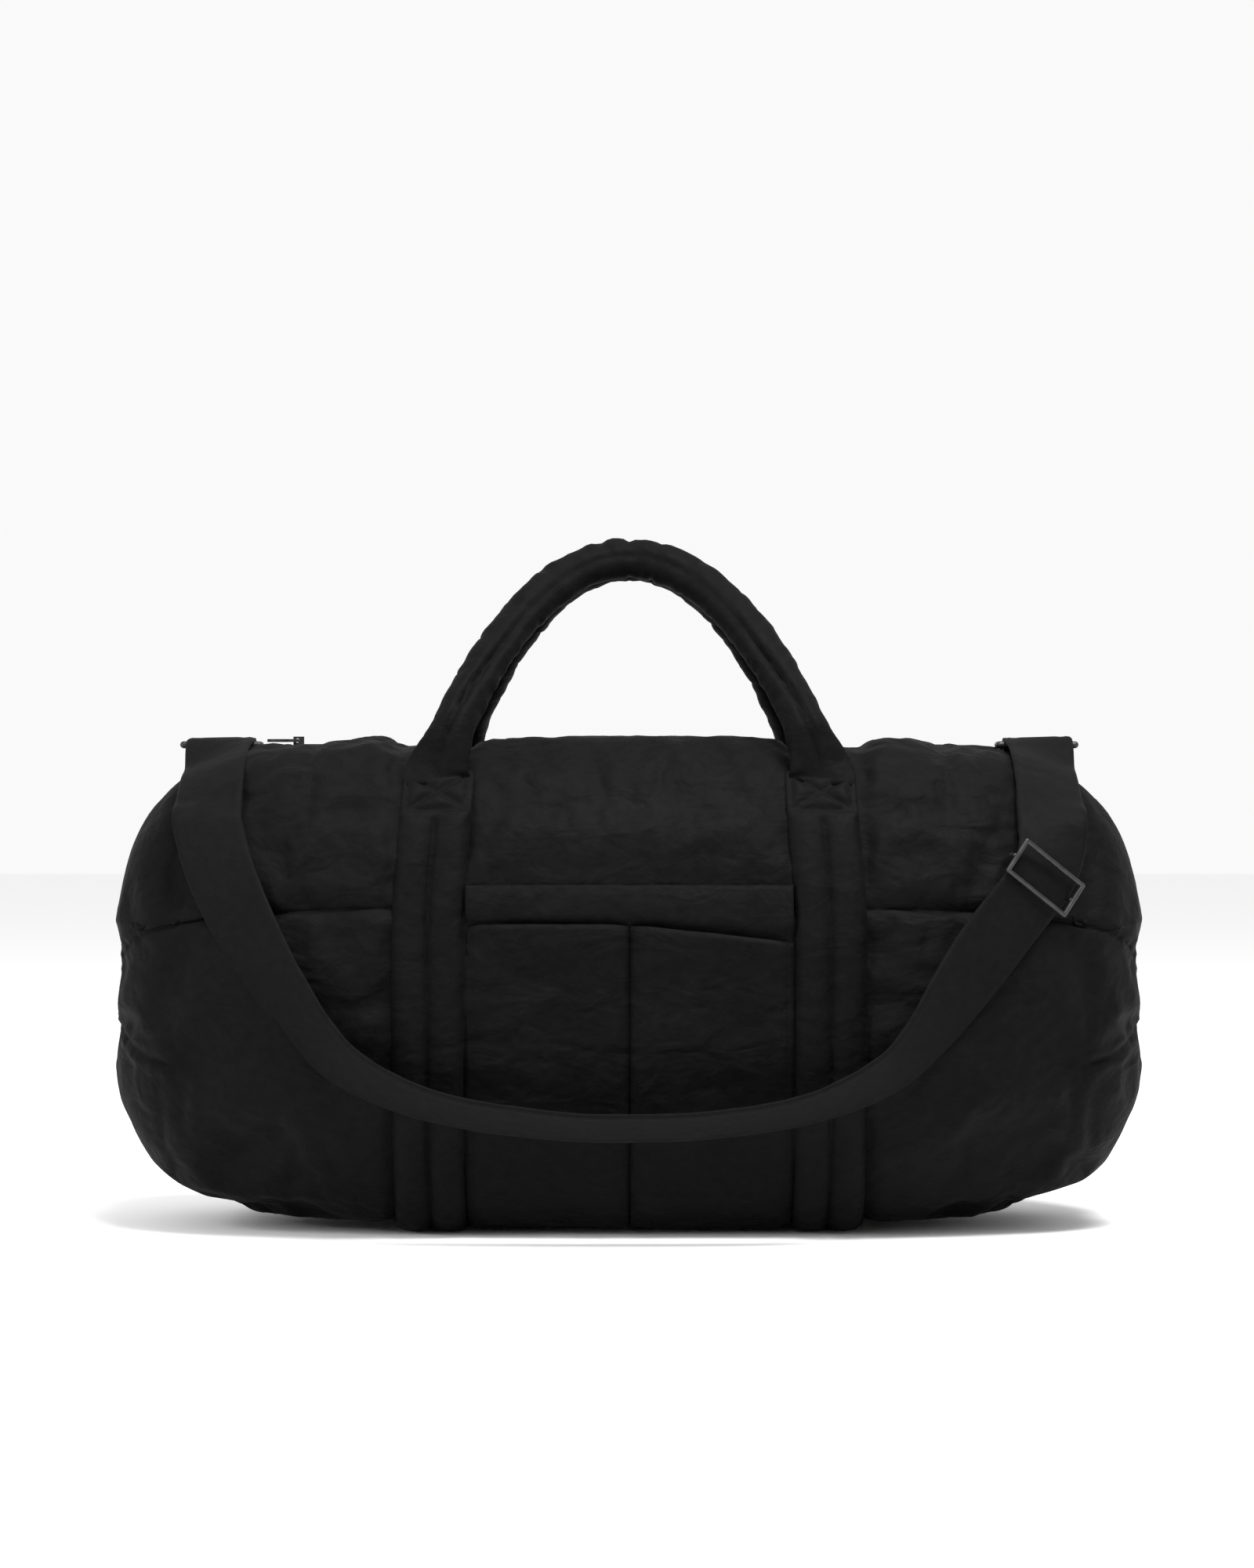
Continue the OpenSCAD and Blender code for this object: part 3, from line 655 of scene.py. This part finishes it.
def handle_path():
    """Middle line of the handle: an arch on two short feet, mirrored."""
    t = np.linspace(0.15, 1, 14)
    knots = np.array([[FOOT_X, 0], [0.87 * FOOT_X, 0.36 * ARCH_H], [0.52 * FOOT_X, ARCH_H], [0, ARCH_H]])
    weights = np.stack([(1 - t) ** 3, 3 * t * (1 - t) ** 2, 3 * t * t * (1 - t), t ** 3], -1)
    half = weights @ knots
    up = np.array([0, math.sin(LEAN), math.cos(LEAN)])
    right = [np.array([x, PIVOT_Y, FOOT_Z]) + up * h for x, h in half]
    foot = [skin(BAND_X - 0.0045, 45.2, 0.0008), skin(BAND_X - 0.0046, 48.4, 0.0048)]
    right = [np.asarray(p) for p in foot] + right
    left = [p * np.array([-1, 1, 1]) for p in right[-2::-1]]
    return smooth_path(right + left, 0.0026)


# Creases of the handle: place along it from 0 to 1, direction they face (radians) and relative depth
HANDLE_CREASES = [(0.5, 0.0, 1.1), (0.535, 0.4, 1.0), (0.462, 2.6, 1.2), (0.40, -2.2, 0.8),
                  (0.33, 3.0, 0.9), (0.27, 2.2, 0.7), (0.62, 0.2, 0.9), (0.69, 2.8, 0.8),
                  (0.76, -0.3, 0.7), (0.20, 2.9, 0.7), (0.83, 0.3, 0.6)]


def make_handle(name, face, material, seed):
    """Padded tube of a folded band: wide and flat at its feet, a two-lobed tube above."""
    path, s = handle_path()
    total = s[-1]
    from_foot = np.minimum(s, total - s)
    tangent = np.gradient(path, axis=0)
    tangent /= np.linalg.norm(tangent, axis=1, keepdims=True)
    out = np.array([0, -math.cos(LEAN), math.sin(LEAN)])
    out = out - tangent * (tangent @ out)[:, None]
    out /= np.linalg.norm(out, axis=1, keepdims=True)
    across = np.cross(tangent, out)
    sides = 40
    turn = np.arange(sides) * 2 * math.pi / sides
    fold = smooth(from_foot, -0.002, 0.040)
    half_w = (0.0190 + (HANDLE_R + 0.0004 - 0.0190) * fold)[:, None]
    half_t = (0.0030 + (HANDLE_R - 0.0004 - 0.0030) * smooth(from_foot, 0.002, 0.036))[:, None]
    angle = (turn[None, :] + math.pi) % (2 * math.pi) - math.pi + 0 * s[:, None]
    drift = (math.pi / 2 + 0.55 * smooth(from_foot, 0.02, 0.11))[:, None]
    fade = (1 - 0.75 * smooth(from_foot, 0.08, 0.13))[:, None]
    groove = 0.42 * bump_at(angle - drift, 0.12) - 0.06 * bump_at(np.abs(angle - drift) - 0.45, 0.25)
    shape = 1 - groove * fade - 0.12 * bump_at(angle + math.pi / 2, 0.2)
    spots = np.stack([np.cos(angle) * half_w, np.sin(angle) * half_t, s[:, None] + 0 * angle], -1)
    flat = spots.reshape(-1, 3)
    ripple = rough_noise(flat, 0.016, seed, (0.7, 0.7, 1.5)).reshape(angle.shape) * 0.0010
    small = np.abs(rough_noise(flat, 0.007, seed + 5, (0.6, 0.6, 1.4)).reshape(angle.shape))
    small = (0.4 - small) * 0.0006
    crease = 0
    for where, facing, depth in HANDLE_CREASES:
        gap = np.abs(s / total - where)[:, None] * total + 0.0016 * np.sin(2 * turn + seed)[None, :]
        sector = 0.35 + 0.65 * bump_at((angle - facing + math.pi) % (2 * math.pi) - math.pi, 1.2)
        crease = crease - depth * 0.0018 * bump_at(gap, 0.0016) * sector
        crease = crease + depth * 0.0005 * bump_at(gap - 0.005, 0.003) * sector
    swell = (ripple + small + crease) * smooth(from_foot, 0.0, 0.03)[:, None]
    wide = half_w * shape + swell
    deep = half_t * shape + swell
    verts = path[:, None] + across[:, None] * (np.cos(turn)[None, :] * wide)[..., None]
    verts = verts + out[:, None] * (np.sin(turn)[None, :] * deep)[..., None]
    verts[..., 1] = np.minimum(verts[..., 1], -0.0004)
    rings = len(path)
    sign = np.array([1, face, 1])
    ring = [(k, (k + 1) % sides, sides + (k + 1) % sides, sides + k) for k in range(sides)]
    faces = [tuple(i * sides + v for v in quad) for i in range(rings - 1) for quad in ring]
    faces += [tuple(range(sides - 1, -1, -1)), tuple((rings - 1) * sides + k for k in range(sides))]
    return solid_object(name, (verts * sign).reshape(-1, 3), faces, material)


# ---------------------------------------------------------------- pocket
def pocket_grid(x0, x1, top_a, low_a, cols, rows, seed, lift):
    """Places (x, a) of a wrinkled pocket half and its height above the skin."""
    us, vs = np.linspace(0, 1, cols), np.linspace(0, 1, rows)
    x = (x0 + (x1 - x0) * us)[None, :] + 0 * vs[:, None]
    a = top_a[None, :] + (low_a - top_a[None, :]) * vs[:, None]
    flat = raw(x, a).reshape(-1, 3)
    folds = (0.45 - np.abs(rough_noise(flat, 0.040, seed, (1, 1, 1.3)))).reshape(x.shape) * 0.0022
    small = (0.4 - np.abs(rough_noise(flat, 0.013, seed + 4, (0.8, 1, 2.0)))).reshape(x.shape) * 0.0010
    ends = smooth(us, 0, 0.12)[None, :] * smooth(1 - us, 0, 0.04)[None, :]
    return x, a, lift + (folds + small) * (0.3 + 0.7 * ends)


POCKET_T = 0.0012


def make_pocket(material):
    """Two halves that meet at the pleat, a strip behind the slit and a facing above the mouth."""
    pieces = []
    for side, name in ((-1, "pocket_left_cloth"), (1, "pocket_right_cloth")):
        cols, rows = 46, 64
        us = np.linspace(0, 1, cols)
        x0, x1 = side * (POCKET_HALF + 0.001), side * 0.0006
        mouth_z = np.interp((x0 + (x1 - x0) * us), [-POCKET_HALF, 0, POCKET_HALF], [14.6, 14.4, 11.2])
        x, a, height = pocket_grid(x0, x1, mouth_z, BASE_A + 3, cols, rows, 11.0 + side, 0.0024)
        vs = np.linspace(0, 1, rows)
        open_top = 0.0042 * bump_at(vs, 0.09)[:, None] * np.sin(np.pi * np.clip(us * 0.9, 0, 1))[None, :]
        slit = -0.0012 * bump_at((1 - us), 0.03)[None, :] + 0.0022 * bump_at((1 - us) - 0.14, 0.12)[None, :]
        height = height + open_top + slit * (1 - smooth(vs, 0.75, 0.95))[:, None]
        height = height - 0.002 * bump_at(us, 0.04)[None, :]
        height = np.maximum(height, POCKET_T)
        faces = slab(skin(x, a, height), skin(x, a, height - POCKET_T))
        pieces.append(solid_object(name, *faces, material))
    x = np.linspace(-0.014, 0.014, 5)[None, :] + np.zeros((40, 1))
    a = np.linspace(13, -58, 40)[:, None] + 0 * x
    pleat = solid_object("pocket_pleat_cloth", *slab(skin(x, a, 0.0007), skin(x, a, 0.0001)), material)
    cols, rows = 90, 14
    us, vs = np.linspace(0, 1, cols), np.linspace(0, 1, rows)
    xs = -POCKET_HALF - 0.001 + 2 * (POCKET_HALF + 0.001) * us
    low = np.interp(xs, [-POCKET_HALF, 0, POCKET_HALF], [12.2, 11.8, 8.8])
    top = 22.6
    a = top + (low - top)[None, :] * vs[:, None]
    x = xs[None, :] + 0 * a
    flat = raw(x, a).reshape(-1, 3)
    puff = 0.0022 * np.sin(np.pi * np.clip(vs * 1.25, 0.03, 0.97))[:, None] ** 0.6
    crinkle = (0.4 - np.abs(rough_noise(flat, 0.016, 21.0, (1.6, 1, 1)).reshape(x.shape))) * 0.0013
    height = 0.0026 + (puff + crinkle) * (1 - smooth(vs, 0.6, 0.8))[:, None]
    height = height - 0.0018 * smooth(vs, 0.62, 0.8)[:, None]
    facing = solid_object("pocket_facing_cloth", *slab(skin(x, a, height), skin(x, a, 0.0002)), material)
    return pieces + [pleat, facing]


# ---------------------------------------------------------------- strap
RING_Z = 0.2685
# Middle line of the strap: (y, z) from ring to fold, then (x, y, z) in mm with the turn in degrees
SHOULDER = [(-0.0145, 0.2712), (-0.024, 0.2700), (-0.042, 0.2658), (-0.062, 0.2598), (-0.082, 0.2488),
            (-0.092, 0.240)]
ROUTE = [(-229, -103, 227.5), (-226, -109, 216), (-221, -115, 200), (-212, -121, 180), (-201, -127, 160),
         (-188, -134, 138), (-170, -141, 114), (-148, -149, 94), (-118, -155, 80), (-86, -158, 72),
         (-44, -159, 66), (0, -159, 64), (44, -159, 66), (86, -158, 72), (116, -155, 81), (142, -149, 96),
         (160, -145, 115), (174, -140, 134), (190, -134.5, 156), (206, -128, 176), (222, -120.5, 196),
         (228, -112.5, 212), (229, -103, 227.5)]
TURN = [0, 4, 10, 18, 26, 34, 44, 52, 58, 62, 64, 64, 64, 62, 58, 52, 44, 32, 20, 20, 20, 14, 0]
STRAP_X = 0.229
STRAP_W = 0.0380
STRAP_T = 0.0030


def strap_line():
    """Knots (x, y, z, turn) of the strap from the left ring to the right."""
    left = [(-STRAP_X, y, z, 0) for y, z in SHOULDER]
    right = [(STRAP_X, y, z, 0) for y, z in SHOULDER[::-1]]
    route = [(x / 1000, y / 1000, z / 1000, t) for (x, y, z), t in zip(ROUTE, TURN)]
    return left + route + right


def make_ribbon(name, knots, material, seed):
    """Soft strap along the knots; over the shoulders it droops and turns with the bag."""
    line, s = smooth_path(knots, 0.003)
    path, turn = line[:, :3], np.radians(line[:, 3])
    tangent = np.gradient(path, axis=0)
    tangent /= np.linalg.norm(tangent, axis=1, keepdims=True)
    flat = np.stack([tangent[:, 2], 0 * turn, -tangent[:, 0]], -1)
    flat /= np.linalg.norm(flat, axis=1, keepdims=True)
    back = -path[:, 1]
    droop = smooth(back, 0.016, 0.045) * (1 - smooth(back, 0.085, 0.105)) * (np.abs(path[:, 0]) > 0.2)
    path = path - np.array([0, 0, 0.005]) * droop[:, None]
    flat = flat - np.array([0, 0, 0.36]) * droop[:, None]
    flat /= np.linalg.norm(flat, axis=1, keepdims=True)
    w = flat * np.cos(turn)[:, None] + np.array([0, 1, 0]) * np.sin(turn)[:, None]
    w = w - tangent * np.sum(w * tangent, axis=1, keepdims=True)
    w /= np.linalg.norm(w, axis=1, keepdims=True)
    n = np.cross(tangent, w)
    return sweep_ribbon(name, path, w, n, s, material, seed)


def sweep_ribbon(name, path, w, n, s, material, seed):
    """Strap with two rows of stitching and small ripples: w points across it, n out of it."""
    half = np.array([0.12, 0.25, 0.33, 0.36, 0.42, 0.47, 0.5])
    us = np.concatenate([-half[::-1], [0], half])
    thick = STRAP_T / 2 * (1 - np.clip((np.abs(us) - 0.42) / 0.08, 0, 1) ** 3 * 0.75)
    thick = thick - 0.0005 * bump_at(np.abs(us) - 0.345, 0.02)
    m, k = len(path), len(us)
    across, along = np.meshgrid(us * STRAP_W, s)
    place = np.stack([across, along, 0 * along], -1).reshape(-1, 3)
    wave = rough_noise(place, 0.05, seed, (0.8, 1, 1)).reshape(m, k) * 0.0012
    small = rough_noise(place, 0.012, seed + 3, (0.5, 1, 1)).reshape(m, k) * 0.0004
    base = path[:, None] + w[:, None] * across[..., None] + n[:, None] * wave[..., None]
    top = base + n[:, None] * (thick[None, :] + small)[..., None]
    low = base - n[:, None] * (thick[None, :] + small * 0.4)[..., None]
    return solid_object(name, *slab(top, low), material)


# ---------------------------------------------------------------- lining, zip and anchors
LINING_T = 0.0008


def make_lining(material):
    """Loose lining inside the skin, cut open under the mouth, and the facings of the two lips."""
    whole = skin_object("lining_whole", material)
    normals, co = vertex_normals(whole), coordinates(whole)
    a = angle_of(co)
    inside = (a > HINGE_A - 0.1) & (a < 180 - HINGE_A + 0.1)
    on_lip = inside & (np.abs(co[:, 0]) < MOUTH_X + 0.003)
    floor = (1 - smooth(co[:, 2], 0.006, 0.02))
    near_hinge = bump_at(np.minimum(np.abs(a - HINGE_A), np.abs(a - 180 + HINGE_A)), 6)
    depth = 0.0125 - 0.0085 * floor - 0.006 * near_hinge
    depth = np.where(on_lip, 0.0052, depth)
    depth = depth + rough_noise(co, 0.03, 31.0) * 0.0012 * (1 - floor)
    moved = co - normals * depth[:, None]
    groups = {"lining_cloth": [], "front_lip_facing_cloth": [], "back_lip_facing_cloth": []}
    for face in whole.data.polygons:
        verts = list(face.vertices)
        middle = co[verts].mean(0)
        half_x, angle = abs(middle[0]), angle_of(middle[None])[0]
        open_top = HINGE_A < angle < 180 - HINGE_A
        if not (open_top and half_x < SLIT_X):
            groups["lining_cloth"].append(verts)
        elif half_x < LIP_GUSSET and not LIP_A - 1 < angle < 181 - LIP_A:
            groups["back_lip_facing_cloth" if angle > 90 else "front_lip_facing_cloth"].append(verts)
    made = []
    for name, faces in groups.items():
        piece, _ = cut_out(name, moved, faces, material)
        thicken(piece, LINING_T)
        made.append(piece)
    bpy.data.objects.remove(whole, do_unlink=True)
    return made


def box_row(centres, size):
    """Small boxes round the centres."""
    corners = np.array([(x, y, z) for x in (-0.5, 0.5) for y in (-0.5, 0.5) for z in (-0.5, 0.5)]) * size
    quads = [(0, 1, 3, 2), (4, 6, 7, 5), (0, 4, 5, 1), (2, 3, 7, 6), (0, 2, 6, 4), (1, 5, 7, 3)]
    verts = np.concatenate([c + corners for c in centres])
    faces = [tuple(8 * i + k for k in q) for i in range(len(centres)) for q in quads]
    return verts, faces


ZIP_Z = 0.266
ZIP_HALF = 0.1695  # half the length of the zip that opens


def make_zip(name, ranges, sides, cloth_material, tooth_material):
    """Zip tapes and moulded teeth over the given lengths and sides."""
    tape_verts, tape_faces, centres = [], [], []
    for x0, x1 in ranges:
        for side in sides:
            xs = np.linspace(x0, x1, max(2, int((x1 - x0) / 0.004)))
            ys = np.array([0.0022, 0.0034, 0.0052, 0.0072, 0.0100, 0.0135])
            drop = 0.0030 * smooth(ys, 0.0045, 0.0085)[:, None]
            z = ZIP_Z + 0.0002 * np.sin(xs * 260)[None, :] * (ys[:, None] / 0.0135) - drop
            grid = np.stack([xs[None, :] + 0 * z, side * ys[:, None] + 0 * z, z], -1)
            up = np.array([0, 0, 0.00045])
            verts, faces = slab(grid + up, grid - up)
            start = sum(len(v) for v in tape_verts)
            tape_faces += [tuple(i + start for i in f) for f in faces]
            tape_verts.append(verts)
            teeth = np.arange(x0 + 0.0012, x1 - 0.0006, 0.0025)
            centres += [np.array([x + side * 0.0006, side * 0.0017, ZIP_Z]) for x in teeth]
    tape = solid_object(name + "_tape_cloth", np.concatenate(tape_verts), tape_faces, cloth_material)
    verts, faces = box_row(centres, np.array([0.0014, 0.0026, 0.0024]))
    return tape, solid_object(name + "_teeth_row", verts, faces, tooth_material, False)


def top_height(x, y):
    """Height of the skin above (x, y)."""
    size = (1 - (np.abs(x) / HALF_L) ** END_N) ** (1 / END_N)
    side = np.clip(1 - (np.abs(y) / (HALF_D * size)) ** SIDE_N, 0, 1) ** (1 / SIDE_N)
    return np.minimum(MID_Z + CROWN_H * size * side, TOP_Z)


def make_anchor(name, side, material):
    """Tab sewn to the shoulder behind, carried round the ring's rear bar and back under itself."""
    us = np.linspace(-0.5, 0.5, 13)
    x = side * STRAP_X + us * (STRAP_W - 0.002)
    bar_r = 0.0032
    bar = [(bar_r * math.sin(t), RING_Z + bar_r * math.cos(t)) for t in np.radians(np.linspace(10, -190, 11))]
    over = [(y, None) for y in (0.043, 0.038, 0.032, 0.026, 0.020, 0.015, 0.010, 0.006)]
    under = [(y, None) for y in (0.005, 0.010, 0.016, 0.024, 0.034)]
    rows = []
    for k, (y, z) in enumerate(over + bar + under):
        if z is None:
            upper = k < len(over)
            level = RING_Z + (0.0030 if upper else -0.0030)
            drape = top_height(x, y) + (0.0042 if upper else 0.0012)
            share = smooth(np.array(y), 0.004, 0.022)
            z = level * (1 - share) + drape * share
        rows.append(np.stack([x, y + 0 * x, z + 0 * x], -1))
    middle = np.array(rows)
    along = np.gradient(middle, axis=0)
    across = np.gradient(middle, axis=1)
    normal = np.cross(along, across)
    normal /= np.linalg.norm(normal, axis=-1, keepdims=True)
    half_t = 0.0009
    return solid_object(name, *slab(middle + normal * half_t, middle - normal * half_t), material)


# ---------------------------------------------------------------- building
make_camera()
make_studio()
CLOTH = crinkled_nylon("shell_nylon", 0.0011, 0.0027)
BAND_CLOTH = crinkled_nylon("padded_nylon", 0.0011, 0.0028, 0.8)
STRAP_CLOTH = crinkled_nylon("strap_nylon", 0.0015, 0.0032, 0.45)
LINING = crinkled_nylon("lining_cloth", 0.02, 0.035, 0.3)
GUNMETAL = smooth_metal("gunmetal", 0.035, 0.42)
DARK_METAL = smooth_metal("dark_metal", 0.03, 0.4)

skin_parts = make_skin(CLOTH)
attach(skin_parts["skin"], "bag")
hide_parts("front_panel", "back_panel", "base_panel",
            "top_front_panel", "top_back_panel",
            "left_shoulder_panel", "right_shoulder_panel", "left_end_panel", "right_end_panel",
            "left_end_lower_panel", "right_end_lower_panel", "left_mouth_end", "right_mouth_end")
for face, y_sign in (("front", -1), ("back", 1)):
    lip = skin_parts[face + "_lip"]
    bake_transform(lip)
    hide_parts(face + "_lip_panel")
    for side, x_sign in (("left", -1), ("right", 1)):
        gusset = skin_parts[f"{face}_{side}_gusset"]
        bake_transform(gusset)

for number, (face, y_sign) in enumerate((("front", 1), ("back", -1))):
    for side, x_sign in (("left", -1), ("right", 1)):
        band = make_band(f"{face}_{side}_band_cloth", x_sign, y_sign, BAND_CLOTH,
                         3.0 * number + x_sign + 5)
        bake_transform(band)
        replaced = [f"{face}_{side}_band", f"{face}_{side}_handle_patch"]
        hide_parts(*(replaced + ([f"{side}_base_band"] if face == "front" else [])))
    handle = make_handle(face + "_handle_cloth", y_sign, BAND_CLOTH, 2.0 + 4 * number)
    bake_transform(handle)
    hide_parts(face + "_handle_cover", face + "_handle_core")

POCKET_NODES = ("pocket_left_panel", "pocket_right_panel", "pocket_pleat", "pocket_facing")
for piece, node in zip(make_pocket(CLOTH), POCKET_NODES):
    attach(piece, "bag")
    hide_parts(node)

strap = make_ribbon("shoulder_strap_cloth", strap_line(), STRAP_CLOTH, 4.0)
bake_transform(strap)
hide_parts("shoulder_strap", "left_strap_end", "right_strap_end")

lining, front_facing, back_facing = make_lining(LINING)
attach(lining, "bag")
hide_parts("lining_body", "left_end_lining", "right_end_lining")
for face, y_sign, facing in (("front", -1, front_facing), ("back", 1, back_facing)):
    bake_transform(facing)
    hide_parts(face + "_lip_facing")
    for part, x0, x1 in (("left", -ZIP_HALF, -LIP_GUSSET), ("middle", -LIP_GUSSET, LIP_GUSSET),
                         ("right", LIP_GUSSET, ZIP_HALF)):
        tape, teeth = make_zip(f"{face}_{part}", [(x0, x1)], [y_sign], BAND_CLOTH, DARK_METAL)
        for piece, node in ((tape, "zip_tape"), (teeth, "zip_teeth")):
            if part == "middle":
                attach(piece, face + "_lip")
                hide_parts(face + "_" + node)
            else:
                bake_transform(piece)
tape, teeth = make_zip("end", [(-0.207, -0.172), (0.172, 0.207)], [-1, 1], BAND_CLOTH, DARK_METAL)
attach(tape, "bag")
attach(teeth, "bag")
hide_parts("zip_end_tapes")
for side, x_sign in (("left", -1), ("right", 1)):
    anchor = make_anchor(side + "_strap_anchor_cloth", x_sign, STRAP_CLOTH)
    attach(anchor, "bag")
    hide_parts(side + "_strap_anchor")

NODE_MATERIALS = {"left_ring": DARK_METAL, "right_ring": DARK_METAL, "adjuster_frame": GUNMETAL,
                  "adjuster_bar": GUNMETAL, "zip_slider": GUNMETAL, "zip_puller": GUNMETAL,
                  "base_board": LINING}
for name, material in NODE_MATERIALS.items():
    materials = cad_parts[name].data.materials
    materials.clear()
    materials.append(material)
